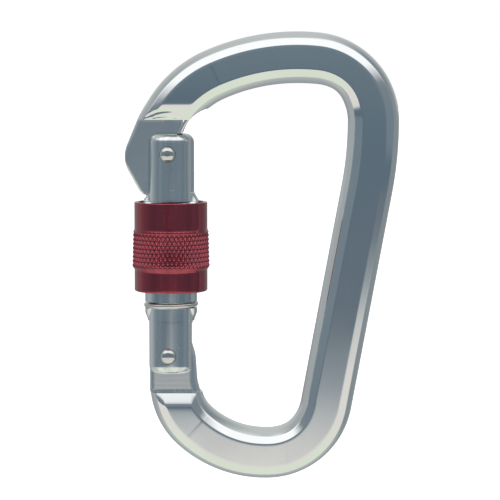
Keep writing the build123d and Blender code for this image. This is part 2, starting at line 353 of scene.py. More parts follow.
bar_width = 12.8
bar_thickness = 12.0
face_width = 6.2
bevel_width = 1.8
bevel_depth = 1.0
face_crease = 0.8         # radius between a face and its bevel
side_crease = 0.9         # radius between a bevel and the side

gate_x = centre_of(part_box("locking_sleeve"))[0]
rivet_x, _, latch_z = centre_of(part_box("latch_rivet"))
pivot_z = centre_of(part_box("hinge_rivet"))[2]
gate_bottom_z, gate_top_z = span_of(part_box("gate"))
rivet_radius = radius_of(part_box("latch_rivet"))
nose_step_z = gate_top_z + 3.5
tail_step_z = pivot_z - 9.337

# A quarter of the bar's outline, from the middle of a face to the middle of a side: the
# face, its crease, the bevel, the second crease and the bulging side.
half_width = bar_width / 2
half_thickness = bar_thickness / 2
side_depth = half_thickness - bevel_depth
side_bulge = half_width - face_width / 2 - bevel_width
side_radius = (side_depth**2 + side_bulge**2) / (2 * side_bulge)
side_angle = degrees(asin(side_depth / side_radius))
bevel_angle = degrees(atan2(bevel_depth, bevel_width))
second_turn = 90 - bevel_angle - side_angle
face_cut = face_crease * tan(radians(bevel_angle) / 2)
side_cut = side_crease * tan(radians(second_turn) / 2)
bevel_length = hypot(bevel_width, bevel_depth) - face_cut - side_cut
quarter_counts = (6, 6, 3, 6, 9)
quarter, _ = trace(
    (0, half_thickness), 0.0,
    ((face_width / 2 - face_cut, 0.0), arc(face_crease, -bevel_angle), (bevel_length, 0.0),
     arc(side_crease, -second_turn), arc(side_radius, -side_angle)),
    quarter_counts,
)
quarter *= (half_width / quarter[-1, 0], 1.0)
quarter[-1, 1] = 0.0


def four_quarters(first):
    """A closed loop from one quarter of it: the quarter, its mirror images and no double
    points. The first column changes sign in the last two, the second in the middle two."""
    back = first[:0:-1]
    return np.vstack([
        first[:-1], back * (1, -1), first[:-1] * (-1, -1), back * (-1, 1),
    ])


bar_loop = four_quarters(quarter)

# The same loop on a flat plate: the face, bevel and first crease lie on the plate's
# face, the second crease is its rounded edge and the side is its rim.
on_face = sum(quarter_counts[:3])
on_edge = quarter_counts[3]
on_rim = quarter_counts[4]
edge_turn = shares(on_edge) * pi / 2
plate_flat = four_quarters(np.stack([
    np.concatenate([shares(on_face), np.ones(on_edge + on_rim + 1)]),
    np.concatenate([np.ones(on_face + on_edge), 1 - np.arange(on_rim + 1) / on_rim]),
], 1))
plate_edge = four_quarters(np.stack([
    np.concatenate([np.zeros(on_face), np.sin(edge_turn), np.ones(on_rim + 1)]),
    np.concatenate([np.ones(on_face), np.cos(edge_turn), np.zeros(on_rim + 1)]),
], 1))


def level_rows(x, y, heights):
    """Level loops from X and Y for each row and point, and one height for each row."""
    return np.stack([x, y, np.broadcast_to(heights[:, None], x.shape)], -1)


def plate_rows(heights, outer, inner, half, outer_round, inner_round):
    """Level loops of a plate between its outer and inner edges, with rounded corners.

    A corner's centre lies its radius in from both faces, and the point stands the radius
    from it. Outside is towards -X."""
    columns = [np.broadcast_to(values, heights.shape)[:, None] for values in
               (outer, inner, half, outer_round, inner_round)]
    outer, inner, half, outer_round, inner_round = columns
    share = (1 + plate_flat[:, 0]) / 2
    radius = np.where(plate_flat[:, 0] > 0, outer_round, inner_round)
    radius = np.minimum(radius, half)
    x = share * (outer + outer_round) + (1 - share) * (inner - inner_round) - plate_edge[:, 0] * radius
    y = plate_flat[:, 1] * (half - radius) + plate_edge[:, 1] * radius
    return level_rows(x, y, heights)


# Centreline of the bar, from the top of the basket down the spine to the hinge end, and
# from the top of the basket out to the nose.
row_step = 0.75
top_of_line = (0.0, half_width)
spine_runs = (arc(47.0, -6.2), arc(15.6, -83.6), arc(91.0, -10.7), (55.0, 0.0),
              arc(15.2, -77.3), arc(26.2, -44.4))
brow_runs = (arc(51.0, 23.6),)
tail_radius = 14.8
nose_radius = 24.4


def counts_of(runs):
    """Number of rows on each run, about one row step apart."""
    return [max(4, ceil(length / row_step)) for length, _ in runs]


spine_line, spine_heading = trace(top_of_line, 0.0, spine_runs, counts_of(spine_runs))
brow_line, brow_heading = trace(top_of_line, pi, brow_runs, counts_of(brow_runs))
spine_out = np.stack([-np.sin(spine_heading), np.cos(spine_heading)], 1)
brow_out = np.stack([np.sin(brow_heading), -np.cos(brow_heading)], 1)


def end_rows(start, out, radius, height, count):
    """Rows along the last arc of the bar, which turn from square to it to level.

    The row through the middle at angle A slopes at angle T, which falls to nothing at the
    height where the bar ends. A point of the section lies where that sloping line meets
    its own circle round the arc's centre. Returns X and Z for each row and section point."""
    centre = start - radius * out
    first = asin(out[1])
    last = asin((height - centre[1]) / radius)
    angle = first + (last - first) * np.arange(1, count + 1) / count
    slope = first * (angle - last) / (first - last)
    apart = np.cos(angle - slope)
    own = radius + bar_loop[:, 0]
    reach = np.sqrt((radius * apart[:, None]) ** 2 - radius**2 + own**2) - (radius * apart)[:, None]
    middle = centre + radius * np.stack([-np.cos(angle), np.sin(angle)], 1)
    tilt = np.stack([-np.cos(slope), np.sin(slope)], 1)
    return middle[:, None] + reach[..., None] * tilt[:, None]


nose_rows = end_rows(brow_line[-1], brow_out[-1], nose_radius, nose_step_z, 150)
tail_rows = end_rows(spine_line[-1], spine_out[-1], tail_radius, tail_step_z, 70)

# The bar is a little thinner inside the two tight corners of the spine.
shoulder_thinning = 0.55
heel_thinning = 0.35
thinning_reach = 9.0      # in rows
corner_counts = np.cumsum([0, *counts_of(spine_runs)])
shoulder_row = corner_counts[1] + 0.42 * (corner_counts[2] - corner_counts[1])
heel_row = corner_counts[4] + 0.55 * (corner_counts[5] - corner_counts[4])
row_number = np.arange(len(spine_line))
thinning = (
    shoulder_thinning * np.exp(-((row_number - shoulder_row) / thinning_reach) ** 2)
    + heel_thinning * np.exp(-((row_number - heel_row) / thinning_reach) ** 2)
)


def square_rows(line, out, thinner):
    """Rows square to the centreline: the line plus the section's width times the outward
    direction. The inner half is narrowed by the thinning."""
    across = bar_loop[:, 0] * np.where(bar_loop[:, 0] < 0, 1 - thinner[:, None] / half_width, 1)
    return line[:, None] + across[..., None] * out[:, None]


spine_rows = square_rows(spine_line, spine_out, thinning)
brow_rows = square_rows(brow_line, brow_out, np.zeros(len(brow_line)))

# At both ends the faces slope in to the milled step. The nose's slope is a shallow S, as
# the cutter left it, and the bar spreads a little there towards the tab.
slope_length = 2.8
slope_depth = 1.3
cutter_wave = 0.15
wave_start = 0.22
wave_bend = 1.4           # how far the S has moved on at the bar's sides
wave_ease = 0.25
nose_spread = 0.42
spread_from = 5.0
tail_softness = 0.16
nose_softness = 0.45      # the nose's slope meets the bar in a wide soft crease


def slope_limit(past_start, across):
    """How thick half the bar may be on the sloping end: the half thickness less the
    slope's depth times the distance past its start, plus a sine that makes it an S. The
    S is bent across the bar, as a round cutter bends it."""
    part = past_start / slope_length
    bent = part + wave_start - wave_bend * across**2
    eased = smooth(0.0, wave_ease, part) * smooth(0.0, wave_ease, 1 - part)
    wave = cutter_wave * np.sin(2 * pi * bent) * eased
    return half_thickness - slope_depth * (part + wave)


def thicken(rows, limit, softness):
    """Adds Y to rows of X and Z: the section's thickness, held under the limit."""
    depth = lower_of(np.abs(bar_loop[:, 1]), limit, softness)
    y = np.sign(bar_loop[:, 1]) * np.maximum(depth, 0)
    return np.stack([rows[..., 0], np.broadcast_to(y, rows.shape[:2]), rows[..., 1]], -1)


far_away = 1e3


def relief(height):
    """X of the scooped inner edge of the nose at each height: the gate's top swings past
    it. It is a circle through three points of the nose, and plain upright below them."""
    (x1, z1), (x2, z2), (x3, z3) = relief_points
    side1, side2 = (x2 - x1, z2 - z1), (x3 - x1, z3 - z1)
    twice = 2 * (side1[0] * side2[1] - side1[1] * side2[0])
    square1, square2 = side1[0]**2 + side1[1]**2, side2[0]**2 + side2[1]**2
    right = (side2[1] * square1 - side1[1] * square2) / twice
    up = (side1[0] * square2 - side2[0] * square1) / twice
    radius = hypot(right, up)
    rise = np.clip(height - z1 - up, -radius, radius)
    edge = x1 + right - np.sqrt(radius**2 - rise**2)
    return np.where(height < z1, edge, far_away)


relief_points = [(gate_x + x, nose_step_z + z) for x, z in ((8.85, 2.6), (5.15, 0.3), (3.15, -3.1))]
nose_x, nose_z = nose_rows[..., 0], nose_rows[..., 1]
spread = nose_spread * smooth(spread_from, 0.0, nose_z - nose_step_z)
nose_x = nose_x - spread * np.maximum(bar_loop[:, 0], 0) / half_width
nose_x = lower_of(nose_x, relief(nose_z), 0.05)
nose_rows = np.stack([nose_x, nose_z], -1)
nose_middle = (nose_x.max(1) + nose_x.min(1))[:, None] / 2
nose_limit = slope_limit(slope_length - (nose_z - nose_step_z), (nose_x - nose_middle) / half_width)
tail_limit = half_thickness - slope_depth * (tail_rows[..., 1] - tail_step_z + slope_length) / slope_length
no_limit = far_away

# Nose tab: measured across from the gate's axis and up from the step.
tab_half = 1.6
tab_end = -18.9
tab_outer = rounded_chain(
    [(-8.3, 0.0), (-12.25, -9.6), (-7.1, tab_end), (-4.5, tab_end)], [7.8, 3.0], 24)
tab_inner = rounded_chain(
    [(3.13, 0.0), (1.05, -12.8), (-1.55, tab_end), (-4.5, tab_end)], [1.5, 2.0], 24)
notch_radius = rivet_radius + 0.25
notch_up = latch_z - nose_step_z
end_ease = 0.5            # rounding of the plate's end


def heights_between(top, bottom, count, breaks=()):
    """Heights from top to bottom, closer together near the bottom, with one just above
    and one just below each break."""
    share = np.linspace(0, 1, count)
    heights = top + (bottom - top) * np.sin(share * pi / 2) ** 0.9
    both_sides = [height + side for height in breaks for side in (0.01, -0.01)]
    return np.sort(np.concatenate([heights, both_sides]))[::-1]


def edge_at(chain, heights):
    """Where an outline that only goes down crosses each height."""
    return np.interp(-heights, -chain[:, 1], chain[:, 0])


def end_thickness(half, heights, end, sense):
    """Half thickness of a plate near its end, which is rounded over like a quarter circle."""
    left = np.clip((heights - end) * sense, 0, end_ease)
    return half - end_ease + np.sqrt(end_ease**2 - (end_ease - left) ** 2)


tab_z = heights_between(0.0, tab_end, 90, (notch_up + notch_radius, notch_up - notch_radius))
in_notch = np.abs(tab_z - notch_up) < notch_radius
tab_inner_x = edge_at(tab_inner, tab_z)
notch_x = rivet_x - gate_x - np.sqrt(np.maximum(notch_radius**2 - (tab_z - notch_up) ** 2, 0))
tab_inner_x = np.where(in_notch, notch_x, tab_inner_x)
tab_round = 0.55 + 0.85 * smooth(-11.0, -1.0, tab_z)      # rounder towards the step
tab_rows = plate_rows(
    tab_z, edge_at(tab_outer, tab_z), tab_inner_x, end_thickness(tab_half, tab_z, tab_end, 1),
    tab_round, 0.3,
) + (gate_x, 0, nose_step_z)

# Hinge tang: measured from the gate's axis and the hinge rivet.
tang_half = 2.0
tang_top = 5.0
tang_foot = tail_step_z - pivot_z
tang_outer = rounded_chain([(-5.36, tang_foot), (-5.35, tang_top), (0.0, tang_top)], [2.9], 24)
tang_inner = rounded_chain(
    [(7.3, tang_foot), (6.55, -6.5), (6.1, 0.0), (4.6, tang_top), (0.0, tang_top)], [8.0, 8.0, 2.0], 24)
tang_z = -heights_between(-tang_foot, -tang_top, 60)
tang_rows = plate_rows(
    tang_z, np.interp(tang_z, tang_outer[:, 1], tang_outer[:, 0]),
    np.interp(tang_z, tang_inner[:, 1], tang_inner[:, 0]),
    end_thickness(tang_half, tang_z, tang_top, -1), 1.2, 1.9,
) + (gate_x, 0, pivot_z)

body_rows = np.concatenate([
    tang_rows[::-1],
    thicken(tail_rows, tail_limit, tail_softness)[::-1],
    thicken(spine_rows, no_limit, 0.0)[::-1],
    thicken(brow_rows, no_limit, 0.0)[1:],
    thicken(nose_rows, nose_limit, nose_softness),
    tab_rows,
])
milled_rows = np.zeros(len(body_rows))
milled_rows[:len(tang_rows)] = 1.0
milled_rows[-len(tab_rows):] = 1.0

# The rib that the cutter leaves along the nose's inner edge, at the bar's full width.
rib_x = 3.55              # from the gate's axis to its outer side, at the step
rib_low_x = 1.95          # and 2.9 mm further down
rib_z = np.linspace(0.0, -3.2, 18)
rib_left = gate_x + rib_x + rib_z * (rib_x - rib_low_x) / 2.9
rib_right = relief(nose_step_z + rib_z)
rib_half = half_thickness - slope_depth + 0.05 * rib_z
rib_rows = plate_rows(rib_z, rib_left, rib_right, rib_half, 0.3, 0.42) + (0, 0, nose_step_z)

body_shells = [shell(body_rows), shell(rib_rows)]
milled = np.concatenate([
    np.repeat(milled_rows, body_rows.shape[1]), np.zeros(rib_rows.shape[0] * rib_rows.shape[1]),
])


origin = (0.0, 0.0, 0.0)


def new_group(name, inputs, outputs):
    """Starts a shader node group with the named inputs, each with its usual value, and the
    named outputs. Returns its tree, its input sockets and its output node."""
    group = bpy.data.node_groups.new(name, "ShaderNodeTree")
    for label, value in inputs.items():
        kind = "NodeSocketVector" if isinstance(value, tuple) else "NodeSocketFloat"
        group.interface.new_socket(label, in_out="INPUT", socket_type=kind).default_value = value
    for label in outputs:
        group.interface.new_socket(label, in_out="OUTPUT", socket_type="NodeSocketFloat")
    return group, group.nodes.new("NodeGroupInput").outputs, group.nodes.new("NodeGroupOutput")


def use_group(tree, group, inputs):
    """Places a node group in a material and returns its output sockets."""
    return add(tree, "Group", inputs, node_tree=group).outputs


# Lines drawn, turned or milled into metal: noise stretched along the lines.
tool_lines, given, ends = new_group(
    "tool_lines", {"Vector": origin, "Stretch": (1.0, 1.0, 1.0), "Detail": 3.0}, ("Lines",))
stretched = add(tool_lines, "VectorMath", {0: given["Vector"], 1: given["Stretch"]}, operation="MULTIPLY")
lines = add(tool_lines, "TexNoise", {"Vector": stretched.outputs[0], "Scale": 1.0, "Detail": given["Detail"]})
fill(tool_lines, ends, {"Lines": lines.outputs[0]})

# Handling: soft smears, and short hairline scratches that lie in two directions.
handling, given, ends = new_group(
    "handling", {"Vector": origin, "Smear Scale": 90.0, "Scratch Scale": 500.0},
    ("Smears", "Scratches"))
smears = add(handling, "TexNoise", {"Vector": given["Vector"], "Scale": given["Smear Scale"], "Detail": 4.0})
both = []
for turn in (0.5, -1.1):
    turned = add(handling, "Mapping", {"Vector": given["Vector"], "Rotation": (0.2, turn, 0.1),
                                       "Scale": (1, 1, 0.035)})
    hairs = add(handling, "TexNoise", {"Vector": turned.outputs[0], "Scale": given["Scratch Scale"],
                                       "Detail": 2.0})
    both.append(share_of(handling, hairs.outputs[0], 0.66, 0.74))
fill(handling, ends, {"Smears": smears.outputs[0], "Scratches": math(handling, "MAXIMUM", *both)})

# Edge wear: how far a spot sticks out of the surface round it.
edge_wear, given, ends = new_group("edge_wear", {"From": 0.51, "To": 0.56}, ("Wear",))
sticking_out = add(edge_wear, "NewGeometry").outputs["Pointiness"]
worn = share_of(edge_wear, sticking_out, given["From"], given["To"])
fill(edge_wear, ends, {"Wear": worn})


def new_metal(name):
    """Starts a metal: returns the material, its tree, its shader and object coordinates."""
    material = bpy.data.materials.new(name)
    material.use_nodes = True
    tree = material.node_tree
    shader = tree.nodes["Principled BSDF"]
    fill(tree, shader, {"Metallic": 1.0})
    return material, tree, shader, add(tree, "TexCoord").outputs["Object"]


def weighted(tree, base, *terms):
    """A base value plus each pattern times its own weight."""
    total = base
    for pattern, weight in terms:
        total = add(tree, "Math", {0: pattern, 1: weight, 2: total}, operation="MULTIPLY_ADD").outputs[0]
    return total


def bump(tree, height, distance, normal=None):
    """Raises the surface by the height times a distance in millimetres."""
    inputs = {"Height": height, "Distance": distance / 1000, "Strength": 1.0}
    if normal is not None:
        inputs["Normal"] = normal
    return add(tree, "Bump", inputs).outputs[0]


def lines_at(tree, spot, stretch, detail=3.0):
    """Tool lines, with how much they are squeezed along X, Y and Z."""
    return use_group(tree, tool_lines, {"Vector": spot, "Stretch": stretch, "Detail": detail})["Lines"]


def marks_at(tree, spot, smear_scale, scratch_scale):
    """Smears and scratches of the handling group."""
    return use_group(tree, handling, {"Vector": spot, "Smear Scale": smear_scale,
                                      "Scratch Scale": scratch_scale})


def wear_at(tree, start, full):
    """Edge wear, from the sharpness where it starts to the one where it is full."""
    return use_group(tree, edge_wear, {"From": start, "To": full})["Wear"]


def join(tree, shader, colour, roughness, normal):
    """Joins a metal's colour, roughness and surface to its shader."""
    fill(tree, shader, {"Base Color": colour, "Roughness": roughness, "Normal": normal})


polished_aluminium, tree, shader, spot = new_metal("polished_aluminium")
bright = (0.87, 0.885, 0.89, 1)
dulled = (0.80, 0.81, 0.82, 1)
milled_here = add(tree, "Attribute", attribute_name="milled").outputs["Fac"]
marks = marks_at(tree, spot, 70.0, 3500.0)
cutter = lines_at(tree, spot, (25.0, 25.0, 2600.0))
wear = wear_at(tree, 0.52, 0.60)
roughness = weighted(tree, 0.045, (marks["Smears"], 0.09), (marks["Scratches"], 0.03),
                     (milled_here, 0.11), (wear, 0.05))
waves = add(tree, "TexNoise", {"Vector": spot, "Scale": 55.0, "Detail": 1.0}).outputs[0]
forged = bump(tree, waves, 0.016)
scratched = bump(tree, marks["Scratches"], -0.0001, forged)
milled_lines = math(tree, "MULTIPLY", cutter, milled_here)
join(tree, shader, mix(tree, marks["Smears"], bright, dulled), roughness,
     bump(tree, milled_lines, 0.006, scratched))

make_piece("bent_bar", body_shells, polished_aluminium, "frame", "body",
           edge=0.14, masks={"milled": milled})


# ---- Gate --------------------
# A turned aluminium rod. Its upper end is slotted to close over the nose tab, its lower
# end is forked over the tang, and the middle carries the thread for the sleeve. It has a
# satin finish with faint bands along it, two slanting flats, and a groove for a ring.
fork_radius = 5.85
barrel_radius = 6.5
thread_radius = 7.0
top_round = 2.2
flare_top_z = gate_top_z - 14.5
thread_top_z = gate_top_z - 16.5
upper_floor_z = gate_top_z - 16.8
ring_z = centre_of(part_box("stop_ring"))[2]
thread_bottom_z = ring_z + 6.55
in_thread_z = upper_floor_z - 10    # the flare moves above this height only
lower_shoulder_z = ring_z - 2.05
lower_floor_z = pivot_z + 8.6
tab_slot_half = 1.75
tang_slot_half = 2.15
web_x = fork_radius - 1.2
thinnest_web = 0.2
thread_pitch = 1.0
thread_starts = 3
thread_depth = 0.36
groove_radius = 0.8       # groove for the stop ring's wire
wire_circle = 6.15
facet_slope = (fork_radius - sqrt(fork_radius**2 - 3.5**2)) / 3.5
bottom_round = 1.9
shoulder_taper = 1.7
thread_step = 0.5         # height over which the rod steps out to the thread
flare_foot = 0.6
flare_drop = 0.42
flats_past_floor = 0.8
shoulder_sweep = 3.0      # how far the flare and the shoulder draw back at the front


def facet(y, height_past):
    """X of the slanting flats at each distance from the middle plane. Past their end they
    run out at 45 degrees."""
    return fork_radius - facet_slope * np.abs(y) + np.maximum(height_past, 0)


def gate_radius(z, drawn_back=0.0):
    """Radius of the turned rod at each height, before slots, flats and thread. The flare
    over the thread lies lower, and the shoulder under the ring higher, where drawn back."""
    stations = (gate_bottom_z, lower_shoulder_z - shoulder_taper, lower_shoulder_z, thread_bottom_z,
                thread_bottom_z + thread_step, thread_top_z, thread_top_z + flare_foot, flare_top_z,
                gate_top_z)
    radii = (fork_radius, fork_radius, barrel_radius, barrel_radius, thread_radius, thread_radius,
             thread_radius - flare_drop, fork_radius, fork_radius)
    shift = drawn_back * ((z > in_thread_z).astype(float) - (z < ring_z))
    radius = np.interp(z + shift, stations, radii)
    depth = groove_radius**2 - (z - ring_z) ** 2
    groove = np.where(depth > 0, wire_circle - np.sqrt(np.maximum(depth, 0)), thread_radius)
    return np.minimum(radius, groove)


around_out = 108          # points on the outer arc of a row
along_wall = 9            # points along each wall of the upper slot
across_web = 7
top_turn = np.linspace(0, pi / 2, 10)[:-1]
upper_z = np.concatenate([
    gate_top_z - top_round * (1 - np.cos(top_turn)),
    np.linspace(gate_top_z - top_round, flare_top_z, 34)[:-1],
    np.linspace(flare_top_z, upper_floor_z, 14),
])
inset = np.zeros(len(upper_z))
inset[:len(top_turn)] = top_round * (1 - np.sin(top_turn))
lower_z = np.concatenate([
    np.linspace(upper_floor_z, thread_bottom_z, 160),
    np.linspace(thread_bottom_z, ring_z + 1.2, 10)[1:],
    np.linspace(ring_z + 1.2, ring_z - 1.2, 26)[1:],
    np.linspace(ring_z - 1.2, lower_floor_z, 22)[1:],
])


def turned_rows(z, radius, opening, inset=0.0):
    """Level loops round the gate's axis: the outer arc from one side of the slot's mouth
    round to the other, then the mouth's own short arc. The opening is half the mouth, and
    the inset is how far each loop lies inside the turned rod."""
    mouth = np.arcsin(opening / radius)[:, None]
    out = mouth + (2 * pi - 2 * mouth) * shares(around_out)
    back = -mouth + 2 * mouth * shares(2 * along_wall + across_web)
    angle = np.concatenate([out, back], 1)
    drawn_back = shoulder_sweep * smooth(0.32, 0.62, np.abs(np.sin(angle)))
    radius = gate_radius(z[:, None], drawn_back) - np.broadcast_to(inset, z.shape)[:, None]
    x, y = -radius * np.cos(angle), -radius * np.sin(angle)
    return level_rows(x, y, z)


upper_radius = gate_radius(upper_z) - inset
upper_rows = turned_rows(upper_z, upper_radius, tab_slot_half, inset)
mouth_reach = np.sqrt(upper_radius**2 - tab_slot_half**2)[:, None]
web_at = np.minimum(web_x, mouth_reach - thinnest_web)
mouth_x = -mouth_reach
wall = shares(along_wall)
web = shares(across_web)
upper_rows[:, around_out:, 0] = np.concatenate([
    mouth_x + (web_at - mouth_x) * wall,
    np.repeat(web_at, across_web, 1),
    web_at + (mouth_x - web_at) * wall,
], 1)
upper_rows[:, around_out:, 1] = np.concatenate([
    np.full(along_wall, tab_slot_half), tab_slot_half * (1 - 2 * web), np.full(along_wall, -tab_slot_half),
])
flats = facet(upper_rows[..., 1], flare_top_z - upper_rows[..., 2])
upper_rows[..., 0] = np.minimum(upper_rows[..., 0], flats)

# The thread is a three-start screw: its height over a turn and its lead follow one
# cosine of the height less the share of a turn times the lead.
lower_radius = gate_radius(lower_z)
lower_rows = turned_rows(lower_z, lower_radius, tab_slot_half)
turn_share = np.arctan2(lower_rows[..., 1], lower_rows[..., 0]) / (2 * pi)
phase = lower_rows[..., 2] / thread_pitch - thread_starts * turn_share
ridge = 0.5 - 0.5 * np.cos(2 * pi * phase)
on_thread = smooth(thread_bottom_z + 0.2, thread_bottom_z + 1.4, lower_rows[..., 2])
on_thread = on_thread * smooth(thread_top_z, thread_top_z - 1.0, lower_rows[..., 2])
cut = 1 - thread_depth * (1 - ridge) * on_thread / lower_radius[:, None]
lower_rows[..., :2] *= cut[..., None]

end_turn = np.linspace(0, pi / 2, 11)
ear_z = np.concatenate([
    np.linspace(lower_floor_z, gate_bottom_z + bottom_round, 44)[:-1],
    gate_bottom_z + bottom_round * (1 - np.sin(end_turn)),
])
ear_radius = gate_radius(ear_z)
ear_radius[-len(end_turn):] -= bottom_round * (1 - np.cos(end_turn))


def ear_rows(side):
    """Level loops of one ear of the lower fork: an arc of the rod from one edge of the
    slot round to the other, and the slot's flat wall back."""
    start = np.arcsin(tang_slot_half / ear_radius)[:, None]
    angle = start + (pi - 2 * start) * shares(60)
    arc_x, arc_y = ear_radius[:, None] * np.cos(angle), ear_radius[:, None] * np.sin(angle)
    arc_x = np.minimum(arc_x, facet(arc_y, ear_z[:, None] - lower_floor_z + flats_past_floor))
    first_x, last_x = arc_x[:, :1], -ear_radius[:, None] * np.cos(start)
    chord_x = last_x + (first_x - last_x) * shares(16)
    x = np.concatenate([arc_x, chord_x], 1)
    y = np.concatenate([arc_y, np.full(chord_x.shape, tang_slot_half)], 1) * side
    return level_rows(x, y, ear_z)


on_axis = (gate_x, 0, 0)
gate_shells = [
    shell(np.concatenate([upper_rows, lower_rows]) + on_axis),
    shell(ear_rows(1) + on_axis),
    shell(ear_rows(-1) + on_axis),
]

# Specks: pores and dust caught in a satin surface, as small round cells.
specks, given, ends = new_group(
    "specks", {"Vector": origin, "Scale": 900.0, "Size": 0.12}, ("Specks",))
cells = add(specks, "TexVoronoi", {"Vector": given["Vector"], "Scale": given["Scale"]})
cell_shade = add(specks, "SeparateXYZ", {0: cells.outputs["Color"]}).outputs[0]
chosen = math(specks, "GREATER_THAN", cell_shade, 0.96)
near = math(specks, "LESS_THAN", cells.outputs["Distance"], given["Size"])
fill(specks, ends, {"Specks": math(specks, "MULTIPLY", chosen, near)})

# Painted shade: a fine dark line painted round the end of a rivet, standing in for the shadow in the gap
# where its hole shows.
rivet_gap_shade, given, ends = new_group(
    "rivet_gap_shade", {"Vector": origin, "Centre": origin, "Radius": 0.0019}, ("Seam",))
level_spot = add(rivet_gap_shade, "VectorMath", {0: given["Vector"], 1: (1, 0, 1)}, operation="MULTIPLY")
away = add(rivet_gap_shade, "VectorMath", {0: level_spot.outputs[0], 1: given["Centre"]}, operation="DISTANCE")
off_ring = math(rivet_gap_shade, "ABSOLUTE", math(rivet_gap_shade, "SUBTRACT", away.outputs["Value"], given["Radius"]))
fill(rivet_gap_shade, ends, {"Seam": share_of(rivet_gap_shade, off_ring, 0.00020, 0.00006)})

satin_aluminium, tree, shader, spot = new_metal("satin_aluminium")
satin_light = (0.90, 0.92, 0.93, 1)
satin_dark = (0.64, 0.67, 0.69, 1)
# Near black: the colour of the painted shadow in the gap round each rivet.
painted_gap_shade = (0.10, 0.10, 0.11, 1)
bands = lines_at(tree, spot, (420.0, 420.0, 4.0), 2.0)
turned = lines_at(tree, spot, (14.0, 14.0, 3000.0))
marks = marks_at(tree, spot, 160.0, 3200.0)
dots = use_group(tree, specks, {"Vector": spot, "Scale": 1500.0, "Size": 0.25})["Specks"]
wear = wear_at(tree, 0.52, 0.60)
rivet_gap_shades = [
    use_group(tree, rivet_gap_shade, {"Vector": spot, "Centre": (rivet_x / 1000, 0, z / 1000),
                                 "Radius": rivet_radius / 1000})["Seam"]
    for z in (latch_z, pivot_z)
]
banding = share_of(tree, bands, 0.38, 0.62)
colour = mix(tree, banding, satin_light, satin_dark)
colour = mix(tree, math(tree, "MULTIPLY", dots, 0.5), colour, (0.93, 0.94, 0.95, 1))
# Painted shade: the satin metal is darkened in a thin ring round each rivet.
colour = mix(tree, math(tree, "MULTIPLY", math(tree, "MAXIMUM", *rivet_gap_shades), 0.6), colour, painted_gap_shade)
roughness = weighted(tree, 0.12, (marks["Smears"], 0.08), (bands, 0.05), (marks["Scratches"], 0.05),
                     (wear, -0.03), (dots, 0.10))
drawn = bump(tree, bands, 0.008)
turned_surface = bump(tree, turned, 0.0008, drawn)
join(tree, shader, colour, roughness, bump(tree, dots, 0.002, turned_surface))

make_piece("slotted_gate", gate_shells, satin_aluminium, "gate_assembly", "gate",
           edge=0.12)


# ---- Rivets --------------------
# Two stainless pins through the gate's ears, one that the gate swings on and one that
# drops into the nose's notch. Each end is headed into a smooth low dome.
dome_height = 0.9
dome_power = 3.4          # higher is flatter in the dome's middle and steeper at its rim
pin_points = 64           # round a pin


def full_circle(radius, count):
    """The two sideways distances of points spaced evenly round a circle."""
    angle = shares(count) * 2 * pi
    return radius * np.cos(angle), radius * np.sin(angle)


steel_bright = (0.80, 0.79, 0.77, 1)
steel_dull = (0.66, 0.655, 0.64, 1)
stainless_steel, tree, shader, spot = new_metal("stainless_steel")
marks = marks_at(tree, spot, 420.0, 3600.0)
drawn = lines_at(tree, spot, (900.0, 900.0, 900.0), 2.0)
wear = wear_at(tree, 0.52, 0.60)
roughness = weighted(tree, 0.07, (marks["Smears"], 0.10), (marks["Scratches"], 0.12), (wear, -0.02))
join(tree, shader, mix(tree, marks["Smears"], steel_bright, steel_dull), roughness,
     bump(tree, drawn, 0.002))

for name, node in (("latch_pin", "latch_rivet"), ("hinge_pin", "hinge_rivet")):
    low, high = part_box(node)
    centre_z = (low.z + high.z) * 500
    half_length = high.y * 1000
    share = np.linspace(0.01, 1, 20)
    cap = np.stack([rivet_radius * share, half_length - dome_height * share**dome_power], 1)
    side_wall = np.array([(rivet_radius, y) for y in np.linspace(1, -1, 9) * (half_length - dome_height)])
    profile = np.vstack([cap, side_wall[1:-1], cap[::-1] * (1, -1)])
    across, up = full_circle(profile[:, :1], pin_points)
    pin_rows = np.stack([rivet_x + across, profile[:, 1:] + 0 * across, centre_z + up], -1)
    make_piece(name, [shell(pin_rows)], stainless_steel, "gate_assembly", node,
               crease=50.0)


# ---- Stop ring --------------------
# A split ring of round stainless wire, sprung into its groove under the sleeve. Nothing
# holds it quite square, so it sits a little askew, with its gap at the back.
wire_radius = 0.65
ring_gap = 12.0
ring_askew = 1.2          # degrees, higher towards the spine
ring_angles = np.linspace(radians(90 + ring_gap / 2), radians(450 - ring_gap / 2), 150)
from_end = np.minimum(ring_angles - ring_angles[0], ring_angles[-1] - ring_angles) * wire_circle
end_round = np.sqrt(np.clip(1 - (1 - np.minimum(from_end / 0.3, 1)) ** 2, 0.05, 1))
wire_out, wire_up = full_circle(wire_radius * end_round[:, None], 20)
ring_r = wire_circle + wire_out
ring_x = ring_r * np.cos(ring_angles)[:, None]
ring_rows = np.stack([
    gate_x + ring_x, ring_r * np.sin(ring_angles)[:, None],
    ring_z + wire_up + ring_x * tan(radians(ring_askew)),
], -1)
make_piece("wire_stop_ring", [shell(ring_rows)], stainless_steel, "ring", "stop_ring",
           crease=60.0)


